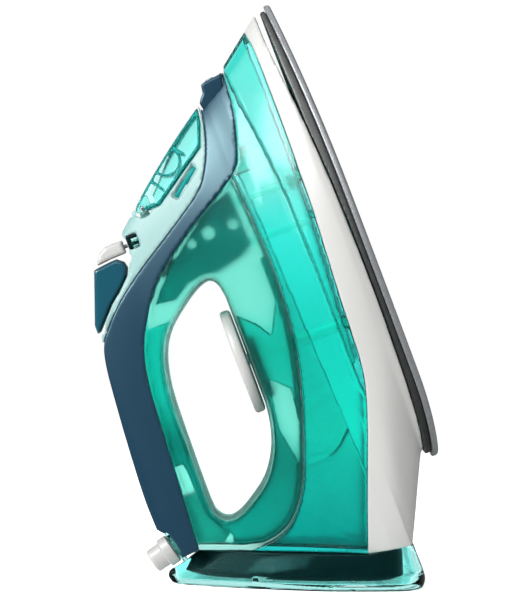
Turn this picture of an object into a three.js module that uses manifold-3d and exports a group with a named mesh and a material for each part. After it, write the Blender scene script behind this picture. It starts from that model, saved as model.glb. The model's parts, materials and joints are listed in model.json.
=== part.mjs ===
// A steam iron that stands on its heel, in millimetres, Z up.
// Most pieces are drawn in the sole's frame: x from heel to tip, y across, z from the working face
// towards the handle. place() then stands them up. The heel pieces are drawn upright.
import * as THREE from 'three';
import { mergeVertices } from 'three/addons/utils/BufferGeometryUtils.js';
import Module from 'manifold-3d';

const wasm = await Module();
wasm.setup();

// Driving sizes
const LEAN = THREE.MathUtils.degToRad(20.5); // working face from upright
const HEEL_X = 95.3; // where the sole frame's origin stands
const HEEL_Z = 69;
const GAP = 0.3; // between neighbouring pieces
const WALL = 2.4; // moulded shells
const BODY_FLOOR = 19.2; // underside of the body above the table
const WIDE = 80; // half width of a cutter that passes both sides

// Axes inside the body, in the sole's frame: x and y, or x and z for the hinge
const VALVE = [163, -5]; // drip valve and its rod
const DIAL = [83.5, 0];
const DIAL_RADIUS = 28.6;
const FILLER = [184, 0];
const STEAM_ROD = 141; // x only, on the middle plane
const SPRAY_ROD = [162.4, 3];
const HINGE = [177.6, 104.6];

const SIN = Math.sin(LEAN);
const COS = Math.cos(LEAN);

// ---------- solids ----------

function toSolid(geometry) {
  geometry.deleteAttribute('normal');
  geometry.deleteAttribute('uv');
  const merged = mergeVertices(geometry, 1e-5);
  return new wasm.Manifold(
    new wasm.Mesh({
      numProp: 3,
      vertProperties: new Float32Array(merged.attributes.position.array),
      triVerts: new Uint32Array(merged.index.array),
    })
  );
}

function toGeometry(solid) {
  const mesh = solid.getMesh();
  const geometry = new THREE.BufferGeometry();
  const flat = [];
  for (const i of mesh.triVerts) {
    flat.push(...mesh.vertProperties.slice(i * mesh.numProp, i * mesh.numProp + 3));
  }
  geometry.setAttribute('position', new THREE.Float32BufferAttribute(flat, 3));
  geometry.computeVertexNormals();
  return geometry;
}

// A side outline, [x, z] points, carried across to y = -half..half.
function prism(points, half = WIDE, bevel = 0, middle = 0) {
  const shape = new THREE.Shape(points.map(([x, z]) => new THREE.Vector2(x, z)));
  const geometry = new THREE.ExtrudeGeometry(shape, {
    depth: 2 * (half - bevel),
    bevelEnabled: bevel > 0,
    bevelThickness: bevel,
    bevelSize: bevel,
    bevelOffset: -bevel,
    bevelSegments: 2,
  });
  geometry.translate(0, 0, bevel - half);
  geometry.rotateX(Math.PI / 2);
  geometry.translate(0, middle, 0);
  return toSolid(geometry);
}

// A turned solid: profile is [radius, height] pairs, from base along the direction.
function turned(profile, base, direction, sides = 20) {
  const points = profile.map(([r, h]) => new THREE.Vector2(r, h));
  const geometry = new THREE.LatheGeometry(points, sides);
  const up = new THREE.Vector3(0, 1, 0);
  const turn = new THREE.Quaternion().setFromUnitVectors(up, new THREE.Vector3(...direction).normalize());
  geometry.applyQuaternion(turn);
  geometry.translate(...base);
  return toSolid(geometry);
}

function rod(radius, length, base, direction, sides = 12) {
  const profile = [[0, 0], [radius, 0], [radius, length], [0, length]];
  return turned(profile, base, direction, sides);
}

function pipe(outer, inner, length, base, direction, sides = 20) {
  const profile = [[inner, 0], [outer, 0], [outer, length], [inner, length], [inner, 0]];
  return turned(profile, base, direction, sides);
}

// A round bar along a smooth path through the points.
function bar(radius, points, steps, sides = 8) {
  const path = new THREE.CatmullRomCurve3(points.map((p) => new THREE.Vector3(...p)));
  const ring = new THREE.Shape();
  for (let i = 0; i < sides; i += 1) {
    const a = (2 * Math.PI * i) / sides;
    ring[i ? 'lineTo' : 'moveTo'](radius * Math.cos(a), radius * Math.sin(a));
  }
  return toSolid(new THREE.ExtrudeGeometry(ring, { steps, extrudePath: path, bevelEnabled: false }));
}

function block(size, centre) {
  const geometry = new THREE.BoxGeometry(...size);
  geometry.translate(...centre);
  return toSolid(geometry);
}

// A boat-shaped outline seen from above, tip first, then y > 0, heel and y < 0.
function boat(level, steps) {
  const { tip, heel, half, nose, wide = 0.68, taper = 1.9, tail = 4 } = level;
  const side = [];
  for (let i = 1; i < steps; i += 1) {
    const s = (1 - Math.cos((Math.PI * i) / steps)) / 2;
    const fore = (1 - (1 - s / wide) ** taper) ** nose;
    const aft = (1 - ((s - wide) / (1 - wide)) ** tail) ** (1 / tail);
    side.push([tip + (heel - tip) * s, half * (s < wide ? fore : aft)]);
  }
  const mirrored = side.map(([x, y]) => [x, -y]).reverse();
  return [[tip, 0], ...side, [heel, 0], ...mirrored];
}

// A solid through boat outlines at rising z. lift(x, k) bends level k.
function loft(levels, steps, lift = () => 0) {
  const rings = levels.map((level) => boat(level, steps));
  const count = 2 * steps;
  const points = [];
  rings.forEach((ring, k) => ring.forEach(([x, y]) => points.push(x, y, levels[k].z + lift(x, k))));
  const faces = [];
  for (let k = 0; k + 1 < rings.length; k += 1) {
    for (let i = 0; i < count; i += 1) {
      const a = k * count + i;
      const b = k * count + ((i + 1) % count);
      faces.push(a, b, b + count, a, b + count, a + count);
    }
  }
  const top = (rings.length - 1) * count;
  for (let i = 0; i < steps; i += 1) {
    const j = count - i - 1; // across from i + 1
    if (i + 1 < steps) {
      faces.push(top + i, top + i + 1, top + j, i, j, i + 1);
    }
    if (i > 0) {
      faces.push(top + i, top + j, top + j + 1, i, j + 1, j);
    }
  }
  const geometry = new THREE.BufferGeometry();
  geometry.setAttribute('position', new THREE.Float32BufferAttribute(points, 3));
  geometry.setIndex(faces);
  return toSolid(geometry);
}

// ---------- outlines, in the sole's frame ----------

function smooth(points, count = 3 * points.length) {
  const curve = new THREE.SplineCurve(points.map(([x, z]) => new THREE.Vector2(x, z)));
  return curve.getPoints(count).map((p) => [p.x, p.y]);
}

// The curve moved to its left by the distance.
function offset(points, distance) {
  return points.map(([x, z], i) => {
    const [ax, az] = points[Math.max(i - 1, 0)];
    const [bx, bz] = points[Math.min(i + 1, points.length - 1)];
    const length = Math.hypot(bx - ax, bz - az);
    return [x - (distance * (bz - az)) / length, z + (distance * (bx - ax)) / length];
  });
}

const back = (points) => [...points].reverse();

// x where the upright plane at this height crosses z.
const floorAt = (z, height = BODY_FLOOR) => (height - HEEL_Z + SIN * z) / COS;
const noseAt = (z) => 252.8 - 0.789 * (z - 14);

const GRIP_INSIDE = smooth(
  [[231, 39.5], [220, 40.4], [206, 42.3], [189, 47], [180, 51], [173, 60], [160, 82], [147, 101], [136, 113],
    [122, 122.5], [108, 129.5], [90, 133.5], [64, 135.4], [30, 137.4], [floorAt(139.2), 139.2]], 30);
const NOSE_INSIDE = GRIP_INSIDE.filter(([x]) => x > 177.5); // where the cover meets the tank
const GRIP_OUTSIDE = smooth(
  [[219.4, 57.6], [209, 58.6], [196, 62], [184, 67.5], [175, 74.5], [163, 92], [148, 116], [137.6, 130.3],
    [127.2, 141.4], [118.3, 148.3], [107, 151.6], [87, 153.8], [59, 156], [33, 157.4], [15.6, 157]], 30);
const SHELL_SEAM = smooth(
  [[176.8, 54.2], [165.8, 53], [150, 51.8], [130, 51], [106, 51.5], [80, 54.5], [54.8, 60.6], [25.6, 70.5],
    [11.4, 76.3], [-1.8, 85.6], [-8.7, 97], [floorAt(113), 113]], 24);
const SKIRT_TOP = smooth(
  [[262, 23.5], [246, 21.4], [232, 20.2], [199, 20.2], [172, 20.8], [148, 21.3], [122.7, 22.8], [96, 24.4],
    [63, 26], [46, 29.3], [30, 34.5], [13.6, 40.5], [-8, 48.5], [floorAt(57), 57]], 26);
const TANK_SEAM = smooth([[246, 39.5], [214, 37.4], [192, 34.8], [165, 32.4], [144, 31.4], [103, 30.8], [58, 30.8]], 14);
const LOOP_ROUND = smooth(
  [[118, 79.7], [126, 81.3], [129.8, 85.5], [127.7, 92.8], [121, 102.8], [113.1, 112], [104.2, 118], [92.4, 121.8],
    [78, 123.7], [49.8, 124.5], [20.4, 124.6], [12.9, 123], [9.2, 118.5], [9.9, 112.5], [14, 104.8], [20.5, 95.6],
    [28.2, 89.2], [38, 84.2], [50, 80.8], [60, 79.6]], 40);

// ---------- the moulds that pieces are cut from ----------

// The whole body's skin, as boat outlines up the height, moved in by the inset.
function hull(inset = 0) {
  const rows = [
    // z, half width, how sharp the nose is, how square the heel is, how far it runs on past the heel
    [6, 57, 0.85, 2.8, 0],
    [14, 58.5, 0.85, 2.8, 0],
    [24, 57.6, 0.8, 3.2, 3],
    [34, 55, 0.75, 4, 10],
    [44, 51.5, 0.7, 4, 26],
    [57, 45, 0.55, 4, 40],
    [80, 33, 0.4, 4, 40],
    [100, 25, 0.35, 4, 40],
    [120, 18.5, 0.35, 4, 40],
    [135, 17, 0.35, 4, 40],
    [146, 15, 0.35, 4, 40],
    [153, 11.5, 0.35, 4, 40],
    [158, 6, 0.35, 4, 40],
  ];
  const levels = rows.map(([z, half, nose, tail, past]) => {
    const ends = z < 34 ? 3.3 - 1.9 * (z - 13.4) : floorAt(z);
    const heel = Math.min(ends, 6) - past + inset;
    return { z, nose, tail, heel, tip: noseAt(z) - 1.3 * inset, half: half - inset };
  });
  return loft(levels, 14);
}

// The heel's underside: level under the body, rising under the skirt, then up the skirt's back.
const HEEL_LINE = [[floorAt(160), 160], [floorAt(57), 57], [-35.4, 33.8], [3.3, 13.4], [5, 0]];

const skin = hull();
const inner = hull(WALL).intersect(prism([...offset(HEEL_LINE, WALL), [300, 0], [300, 160]]));

// The hollow that the handle's pieces share.
function handleHollow() {
  const outside = offset(GRIP_OUTSIDE, WALL);
  const low = back(offset(SHELL_SEAM, -WALL)).slice(1);
  const front = back(offset(NOSE_INSIDE, -WALL));
  const around = [...outside, [floorAt(152, 22), 152], [floorAt(116, 22), 116], ...low, ...front];
  const ring = offset([...LOOP_ROUND, LOOP_ROUND[0]], -WALL).slice(0, -1);
  return prism(around).intersect(inner).subtract(prism(ring));
}
const hollow = handleHollow();

// ---------- sole group ----------

// The working face is flat in the middle and curls up at the tip and the heel.
const rise = (x) => 4.2 * Math.max(0, (x - 150) / 106) ** 2 + 3.9 * Math.max(0, (45 - x) / 43) ** 2;
const soleLevel = (z, inset, extra = {}) => (
  { z, tip: 256 - inset, heel: 1.5 + inset, half: 58.5 - inset, nose: 0.85, tail: 2.8, ...extra });

function soleplate() {
  const levels = [soleLevel(0, 1.6), soleLevel(1, 0.3), soleLevel(3.4, 0)];
  let plate = loft(levels, 22, rise);
  const vents = [[226, 0], [70, 0]];
  for (const x of [213, 200, 187, 174, 161, 148, 135, 122]) {
    vents.push([x, 0.31 * (250 - x)], [x, -0.31 * (250 - x)]);
  }
  for (const x of [200, 174, 148]) {
    vents.push([x, 0]);
  }
  for (const [x, y] of vents) {
    plate = plate.subtract(rod(1.7, 12, [x, y, -3], [0, 0, 1], 8));
  }
  return plate;
}

const HEATER_PATH = [[24, 27, 20], [24, 27, 12], [32, 27, 8.6], [90, 27, 8.6], [160, 15, 8.6], [186, 0, 8.6],
  [160, -15, 8.6], [90, -27, 8.6], [32, -27, 8.6], [24, -27, 12], [24, -27, 20]];
const CASTING_SCREWS = [[205, 0], [44, 39], [44, -39]];

function soleCasting() {
  const levels = [soleLevel(3.7, 2.6), soleLevel(8.2, 2.6), soleLevel(9.2, 3.6)];
  const lift = (x, k) => rise(x) * (k ? 0.35 : 1);
  const recess = { tip: 172, heel: 62, half: 14, nose: 0.4 };
  let casting = loft(levels, 20, lift)
    .subtract(bar(4, HEATER_PATH, 40))
    .subtract(loft([{ z: 5.6, ...recess }, { z: 14, ...recess }], 8));
  for (const [x, y] of CASTING_SCREWS) {
    casting = casting.add(block([9, 9, 7], [x, y, 11.5])).subtract(rod(1.9, 12, [x, y, 7], [0, 0, 1], 10));
  }
  return casting;
}

function castingScrew([x, y]) {
  return turned([[0, 0], [1.5, 0], [1.5, 7.3], [3.6, 7.3], [3.6, 9], [2.6, 9.8], [0, 9.8]], [x, y, 8], [0, 0, 1], 12);
}

function chamberCover() {
  const level = (z) => ({ z, tip: 175.5, heel: 58, half: 16.5, nose: 0.45 });
  return loft([level(9.6), level(10.8)], 10).subtract(rod(1.6, 6, [...VALVE, 8], [0, 0, 1], 8));
}

function heatShield() {
  const level = (z) => ({ z, tip: 228, heel: 12, half: 49, nose: 0.8 });
  let shield = loft([level(15.9), level(17)], 14)
    .subtract(block([26, 18, 9], [...DIAL, 16]))
    .subtract(rod(5, 9, [...VALVE, 12], [0, 0, 1], 12))
    .subtract(block([13, 12, 9], [24, 27, 16]))
    .subtract(block([13, 12, 9], [24, -27, 16]));
  for (const [x, y] of CASTING_SCREWS) {
    shield = shield.subtract(rod(7.5, 9, [x, y, 12], [0, 0, 1], 12));
  }
  return shield;
}

function thermostat() {
  return block([20, 13, 8], [...DIAL, 15.3]).add(rod(5, 3, [...DIAL, 18.5], [0, 0, 1], 12));
}

function skirt() {
  const low = [[5, 11.4], [20, 10.6], [46, 9.6], [180, 9.6], [225, 11.2], [236, 13.2], [262, 13.2]];
  return prism([...HEEL_LINE.slice(1, 4), ...low, ...SKIRT_TOP]).intersect(skin).subtract(inner);
}

// ---------- tank group ----------

function tankLower() {
  const top = offset(TANK_SEAM, GAP / 2);
  const bottom = offset(SKIRT_TOP, -GAP).filter(([x]) => x > 58);
  const inside = offset(SKIRT_TOP, -WALL).filter(([x]) => x > 58 + WALL);
  return prism([...top, ...back(bottom)])
    .intersect(skin)
    .subtract(prism([...inside, [58 + WALL, 45], [262, 45]]).intersect(inner))
    .subtract(rod(4.3, 20, [...VALVE, 14], [0, 0, 1], 14))
    .subtract(rod(3.5, 20, [...DIAL, 14], [0, 0, 1], 14))
    .subtract(rod(2.2, 20, [STEAM_ROD, 0, 14], [0, 0, 1], 10));
}

function tankUpper() {
  const seam = offset(TANK_SEAM, -GAP / 2);
  const skirtEdge = offset(SKIRT_TOP, -GAP).filter(([x]) => x < 57.5);
  const shell = offset(SHELL_SEAM, GAP / 2);
  const nose = offset(NOSE_INSIDE, GAP / 2);
  return prism([...seam, ...skirtEdge, ...back(shell), ...back(nose), [246, 39.9]]).intersect(skin).subtract(inner);
}

// The door rests on this slope, from nose to heel.
const DOOR_SILL = [[197.2, 64.4], [175.9, 95.4]];

function fillerNeck() {
  const below = [[213.6, 38.9], [163.4, 112], [140, 112], [140, 30], [213.6, 30]];
  return pipe(7.4, 5.8, 60, [...FILLER, 42], [0, 0, 1], 20).intersect(prism(below));
}

function dripValve() {
  return pipe(4, 1.9, 15, [...VALVE, 13], [0, 0, 1], 14);
}

// ---------- handle group ----------

function handleBody() {
  const outside = offset(GRIP_INSIDE, GAP / 2).filter(([x]) => x < 176.6);
  return prism([...outside, ...back(offset(SHELL_SEAM, -GAP / 2))])
    .intersect(skin)
    .subtract(hollow)
    .subtract(prism(LOOP_ROUND))
    .subtract(rod(4.2, 60, [...DIAL, 45], [0, 0, 1], 16))
    .subtract(rod(7.8, 60, [...FILLER, 40], [0, 0, 1], 20))
    .subtract(rod(2, 40, [...VALVE, 40], [0, 0, 1], 10))
    .subtract(rod(2.2, 16, [STEAM_ROD, 0, 45], [0, 0, 1], 10));
}

const NOZZLE = [[214.5, 56], [219.4, 56.9], [221.3, 55.7], [223.6, 53.6], [228.2, 52.9], [229, 50.3],
  [229.8, 42.8], [230.6, 41], [226, 41.8], [214.5, 44.5]];

const STEAM_BUTTON = [[157.4, 131], [157.6, 127], [154.9, 123.6], [151.5, 122.8], [147.4, 124.7],
  [142.4, 129.6], [135.8, 137.6], [124.3, 148.1], [123.8, 150.1], [128.6, 150.1], [156, 140.3], [156.6, 138]];
const SPRAY_BUTTON = [[165.8, 120.9], [166, 126.5], [165.6, 130.5], [163.4, 134.6], [160.3, 136.8],
  [157.8, 137.6], [158.6, 130], [158.9, 121]];
const STEAM_POCKET = [[158.1, 142], [158.1, 119], [152, 117.8], [146.2, 119.8], [141, 124.8], [134.6, 132.8],
  [123, 143.6], [122.6, 153]];
const SPRAY_POCKET = [[166.6, 119], [166.8, 142], [158, 142], [158, 119]];
const SLIDE_CHANNEL = [[159.6, 112.6], [166.9, 112.6], [166.9, 118.4], [159.6, 118.4]];

function cutButtons(solid) {
  return solid
    .subtract(prism(STEAM_POCKET, 10))
    .subtract(prism(SPRAY_POCKET, 9.6))
    .subtract(rod(2, 60, [STEAM_ROD, 0, 95], [0, 0, 1], 10))
    .subtract(rod(1.4, 60, [...SPRAY_ROD, 80], [0, 0, 1], 8))
    .subtract(rod(2, 40, [...VALVE, 75], [0, 0, 1], 10))
    .subtract(rod(7.8, 60, [...FILLER, 40], [0, 0, 1], 20));
}

function handleCover() {
  const heelEnd = [[-2.1, 149.2], [floorAt(149.2), 149.2]];
  const outline = [...back(offset(GRIP_INSIDE, -GAP / 2)), ...offset(GRIP_OUTSIDE, GAP / 2), heelEnd[0]];
  const nozzleSeat = [[214.1, 44.2], [214.1, 56.6], [219.2, 58.4], [240, 58.4], [240, 39.9], [226, 41.3]];
  return cutButtons(prism(outline).intersect(skin).subtract(hollow)).subtract(prism(nozzleSeat, 7.4));
}

function controlDeck() {
  const low = offset(GRIP_OUTSIDE, -GAP / 2).filter(([x]) => x < 206 && x > 118);
  const top = [[118.2, 149.4], [125, 147.4], [135.4, 137.6], [142, 129.6], [147, 124.5], [151.5, 122.3],
    [159.5, 120.3], [168, 119.7], [175.6, 119.7], [175.6, 95.2], [196.9, 64], [205, 60.8]];
  const lug = prism([[173, 101.8], [173, 107.6], [178.6, 106.8], [179.6, 104.6], [178.6, 102.4]], 2.4);
  return cutButtons(prism([...low, ...top]).intersect(skin))
    .subtract(prism(SLIDE_CHANNEL))
    .subtract(rod(4.9, 60, [HINGE[0], -30, HINGE[1]], [0, 1, 0], 20))
    .add(lug)
    .subtract(rod(1.4, 60, [HINGE[0], -30, HINGE[1]], [0, 1, 0], 12));
}

function fillerDoor() {
  const outline = [[222, 58.3], [209.2, 59.9], DOOR_SILL[0], DOOR_SILL[1], [175.9, 108.4], [188, 108.4], [235, 60]];
  const shell = hull(2).intersect(prism([[213, 61], [208, 50], [160, 70], [160, 97], [182, 97], [213, 66]]));
  return prism(outline)
    .intersect(skin)
    .subtract(shell)
    .subtract(prism([[170, 99.2], [170, 110], [183, 110], [183, 99.2]], 2.8))
    .subtract(rod(1.4, 60, [HINGE[0], -30, HINGE[1]], [0, 1, 0], 12));
}

function hingeCap() {
  return prism([[175.9, 108.9], [175.9, 112.3], [184, 112.3], [184, 108.9]]).intersect(skin);
}

function sprayNozzle() {
  return prism(NOZZLE, 7, 1).subtract(rod(2.7, 9, [225.2, 0, 47.4], [1, 0, 0.1], 14));
}

function nozzleTip() {
  return pipe(2.4, 0.6, 4.6, [225.5, 0, 47.43], [1, 0, 0.1], 14);
}

function steamButton() {
  return prism(STEAM_BUTTON, 9.4, 1.2).subtract(rod(1.9, 14, [STEAM_ROD, 0, 120], [0, 0, 1], 10));
}

function sprayButton() {
  return prism(SPRAY_BUTTON, 9, 1.2).subtract(rod(1.3, 8, [...SPRAY_ROD, 117], [0, 0, 1], 8));
}

// A rod with a piston at its foot.
function plunger(radius, length, piston, base) {
  const profile = [[0, 0], [piston, 0], [piston, 4], [radius, 4], [radius, length], [0, length]];
  return turned(profile, base, [0, 0, 1], 12);
}

// A pump barrel, open at the top.
function barrel(outer, bore, length, base) {
  const profile = [[0, 0], [outer, 0], [outer, length], [bore, length], [bore, 2], [0, 2]];
  return turned(profile, base, [0, 0, 1], 16);
}

const SPRAY_HOSE = [[169, 4, 74.5], [174, 10.5, 69], [184, 12.3, 61], [196, 9, 54.6], [206, 3, 51], [213.6, 0, 50]];

// The dark moulding that holds both pumps, with windows through it between them.
function pumpCarrier() {
  const outline = [[170, 58.6], [166, 69], [156.5, 84], [145, 99], [134, 110.5], [127.5, 115.5], [126.2, 104.6],
    [132, 95.8], [133.6, 86], [131.8, 79.2], [133.8, 70.5], [135.6, 63], [139.5, 57.4]];
  let carrier = prism(outline, 12)
    .subtract(rod(6.3, 60, [STEAM_ROD, 0, 65.7], [0, 0, 1], 16))
    .subtract(rod(2, 20, [STEAM_ROD, 0, 50], [0, 0, 1], 10))
    .subtract(rod(5.3, 60, [...SPRAY_ROD, 57.7], [0, 0, 1], 16))
    .subtract(rod(1.9, 70, [...VALVE, 50], [0, 0, 1], 10));
  for (const [x, z, radius] of [[153.2, 76.4, 3.4], [150.8, 86.6, 2.4], [153, 62.6, 2.8]]) {
    carrier = carrier.subtract(rod(radius, 60, [x, -30, z], [0, 1, 0], 16));
  }
  return carrier;
}

function dialBearing() {
  return prism([[61, 72.8], [94, 72.8], [94, 76.8], [61, 76.8]], 14, 0.8).subtract(rod(3.3, 9, [...DIAL, 70], [0, 0, 1], 14));
}

function terminalCover() {
  const outline = [[27, 141.5], [27.5, 130.5], [13, 129], [6, 124.5], [1, 121], [-2.1, 125.5], [4.5, 143.6]];
  return prism(outline, 10.5).subtract(block([14.8, 16.8, 30], [12.5, 0, 145]));
}

function sliderGuide() {
  const corner = [[159.9, 116.4], [159.9, 118.1], [166.6, 118.1], [166.6, 112.9], [165.1, 112.9], [165.1, 116.4]];
  return prism(corner, 10.6).subtract(rod(1.4, 9, [...SPRAY_ROD, 112], [0, 0, 1], 8));
}

function steamSlider() {
  return prism([[160, 112.9], [164.8, 112.9], [164.8, 116.1], [160, 116.1]], 12.2, 0.5)
    .subtract(block([2.8, 9.4, 8], [SPRAY_ROD[0], SPRAY_ROD[1], 114]));
}

function valveRod() {
  return turned([[0, 0], [0.7, 0], [1.5, 3], [1.5, 83], [0, 83]], [...VALVE, 27], [0, 0, 1], 10);
}

function temperatureDial() {
  const rim = DIAL_RADIUS;
  const profile = [[0, 80.6], [rim - 2, 80.6], [rim, 81.8], [rim, 85.2], [rim - 1.2, 86.4], [rim - 5, 86],
    [0, 85.2]];
  return turned(profile, [...DIAL, 0], [0, 0, 1], 40)
    .subtract(rod(3.3, 6, [...DIAL, 78], [0, 0, 1], 14))
    .subtract(block([9, 1.6, 3], [DIAL[0] + rim - 5, 0, 86.6]));
}

function dialShaft() {
  return rod(3, 59.4, [...DIAL, 24.4], [0, 0, 1], 14);
}

// ---------- heel group, drawn upright ----------

function foot(rows) {
  const shape = { nose: 0.8, wide: 0.65, taper: 1.3, tail: 5.5 };
  return loft(rows.map(([z, tip, heel, half]) => ({ z, tip, heel, half: -half, ...shape })), 14);
}

const FOOT_TOP = [[76.6, 24], [52.8, 18.8], [-34.5, 18.8], [-38, 16], [-43.5, 11.6], [-48, 8.9], [-54, 6.8]];

function heelRest() {
  const outside = foot([[0, -46, 80.5, 47.5], [1.4, -49.5, 82.6, 49.8], [7, -51, 83.4, 50.3], [19, -40, 79, 48],
    [26, -36, 76.4, 46]]);
  const inside = foot([[3.4, -45.5, 78, 45.5], [8, -47.5, 79.8, 47], [19, -37, 76.2, 45], [30, -33, 73.4, 43]]);
  return outside
    .intersect(prism([...FOOT_TOP, [-54, -1], [90, -1], [90, 24]]))
    .subtract(inside)
    .subtract(rod(10.2, 4, alongBush(13), BUSH_AXIS, 24))
    .add(block([10, 62, 3], [-1, 0, 4]))
    .add(block([1.6, 80, 3], [46, 0, 4]));
}

const REAR_SCREWS = [[18, 22], [18, -22]];

function rearCover() {
  const top = [[71.6, 22.6], [52.8, 18.5], [-34.5, 18.5], [-38, 15.4], [-42, 11.6], [-60, 8]];
  let cover = foot([[6, -38, 71, 39.5], [8.5, -42.5, 73, 42], [19, -36, 72.6, 42], [26, -33, 71.5, 41]])
    .intersect(prism([...top, [-60, 0], [90, 0], [90, 22.6]]));
  for (const [x, y] of REAR_SCREWS) {
    cover = cover.subtract(rod(3.7, 6, [x, y, 3], [0, 0, 1], 12)).subtract(rod(1.8, 20, [x, y, 3], [0, 0, 1], 10));
  }
  return cover;
}

function rearScrew([x, y]) {
  return turned([[0, 0], [2.4, 0], [3.3, 0.8], [3.3, 2.2], [1.5, 2.2], [1.5, 9.5], [0, 9.5]], [x, y, 6.4], [0, 0, 1], 12);
}

const BUSH_END = [-59.9, 0, 11.7];
const BUSH_AXIS = [0.82, 0, 0.572];
const alongBush = (t) => BUSH_END.map((c, i) => c + t * BUSH_AXIS[i]);

function cordBush() {
  const profile = [[4, 0], [5.7, 0], [6.5, 0.9], [6.5, 7.4], [8, 8], [8, 12.8], [7.2, 13.4], [5.4, 13.4], [5.4, 20],
    [4, 20], [4, 0]];
  return turned(profile, BUSH_END, BUSH_AXIS, 20);
}

function cordCollar() {
  return pipe(9.6, 5.8, 2.4, alongBush(13.8), BUSH_AXIS, 24);
}

// Cuts the cover's end square to the bush, with a hole for its neck.
function bushSeat(cover) {
  return cover.subtract(rod(14, 18.5, alongBush(-2), BUSH_AXIS, 24)).subtract(rod(5.8, 8, alongBush(15), BUSH_AXIS, 20));
}

// ---------- assembly ----------

const group = new THREE.Group();
const upright = new THREE.Matrix4().set(-SIN, 0, -COS, HEEL_X, 0, 1, 0, 0, COS, 0, -SIN, HEEL_Z, 0, 0, 0, 1);

// Stands a piece up on the heel.
function place(solid) {
  const geometry = toGeometry(solid);
  geometry.applyMatrix4(upright);
  return toSolid(geometry);
}

const FINISH = {
  clear: ['#18b9a9', 0.15, 0],
  pale: ['#b6e0de', 0.2, 0],
  door: ['#49b2ad', 0.15, 0],
  white: ['#e6e6e4', 0.4, 0],
  navy: ['#1b4656', 0.55, 0],
  gloss: ['#12505b', 0.2, 0],
  dark: ['#0a2f35', 0.35, 0],
  black: ['#1c1f20', 0.5, 0],
  smoke: ['#1f8286', 0.35, 0],
  foot: ['#bff3f0', 0.1, 0],
  coat: ['#c9cac9', 0.35, 0.4],
  cast: ['#5b5d5c', 0.6, 0.7],
  steel: ['#b5b8ba', 0.3, 1],
  brass: ['#b8964c', 0.35, 1],
  copper: ['#8d5a3b', 0.5, 1],
  grey: ['#8b9396', 0.5, 0],
};

function add(name, solid, finish) {
  const [color, roughness, metalness] = FINISH[finish];
  const material = new THREE.MeshStandardMaterial({ color, roughness, metalness });
  const mesh = new THREE.Mesh(toGeometry(solid), material);
  mesh.name = name;
  group.add(mesh);
}

add('soleplate', place(soleplate()), 'coat');
add('sole_casting', place(soleCasting()), 'cast');
add('heating_element', place(bar(3.6, HEATER_PATH, 40)), 'copper');
add('steam_chamber_cover', place(chamberCover()), 'steel');
add('heat_shield', place(heatShield()), 'steel');
add('thermostat', place(thermostat()), 'brass');
add('thermal_fuse', place(rod(2.3, 20, [88, 20, 13], [1, 0, 0], 12)), 'black');
add('casting_screw_front', place(castingScrew(CASTING_SCREWS[0])), 'steel');
add('casting_screw_left', place(castingScrew(CASTING_SCREWS[1])), 'steel');
add('casting_screw_right', place(castingScrew(CASTING_SCREWS[2])), 'steel');
add('skirt', place(skirt()), 'white');

add('tank_lower', place(tankLower()), 'clear');
add('tank_upper', place(tankUpper()), 'clear');
add('filler_neck', place(fillerNeck()), 'clear');
add('drip_valve', place(dripValve()), 'grey');
add('valve_rod', place(valveRod()), 'steel');

add('handle_body', place(handleBody()), 'clear');
add('handle_cover', bushSeat(place(handleCover())), 'navy');
add('control_deck', place(controlDeck()), 'pale');
add('filler_door', place(fillerDoor()), 'door');
add('hinge_cap', place(hingeCap()), 'door');
add('door_hinge_pin', place(rod(1.1, 13.6, [HINGE[0], -6.8, HINGE[1]], [0, 1, 0], 12)), 'steel');
add('spray_nozzle', place(sprayNozzle()), 'navy');
add('nozzle_tip', place(nozzleTip()), 'grey');
add('spray_button', place(sprayButton()), 'white');
add('spray_rod', place(plunger(1, 53.6, 3.3, [...SPRAY_ROD, 70])), 'white');
add('spray_pump', place(barrel(5, 3.6, 22, [...SPRAY_ROD, 58])), 'grey');
add('spray_hose', place(bar(1.4, SPRAY_HOSE, 22, 8)), 'white');
add('steam_button', place(steamButton()), 'gloss');
add('steam_rod', place(plunger(1.6, 43, 4.1, [STEAM_ROD, 0, 90])), 'white');
add('steam_pump', place(barrel(6, 4.4, 38, [STEAM_ROD, 0, 66])), 'grey');
add('steam_hose', place(rod(1.7, 43, [STEAM_ROD, 0, 22.5], [0, 0, 1], 10)), 'white');
add('slider_guide', place(sliderGuide()), 'dark');
add('steam_slider', place(steamSlider()), 'door');
add('temperature_dial', place(temperatureDial()), 'white');
add('dial_shaft', place(dialShaft()), 'white');
add('pump_carrier', place(pumpCarrier()), 'smoke');
add('dial_bearing', place(dialBearing()), 'dark');
add('terminal_cover', place(terminalCover()), 'dark');
add('terminal_block', place(block([14, 16, 13], [12.5, 0, 137])), 'black');

add('rear_cover', rearCover(), 'dark');
add('heel_rest', heelRest(), 'foot');
add('rear_screw_left', rearScrew(REAR_SCREWS[0]), 'steel');
add('rear_screw_right', rearScrew(REAR_SCREWS[1]), 'steel');
add('cord_collar', cordCollar(), 'foot');
add('cord_bush', cordBush(), 'white');

export default group;
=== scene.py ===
"""The looks of a steam iron that stands on its heel rest.

The shells are sampled as distance fields in the sole's frame (x from heel to tip, y across, z from the
working face towards the handle, in millimetres), meshed, and stood up with UPRIGHT.
"""

import math

import bmesh
import bpy
import json
import numpy as np
import openvdb
from mathutils import Matrix, Vector

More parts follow.
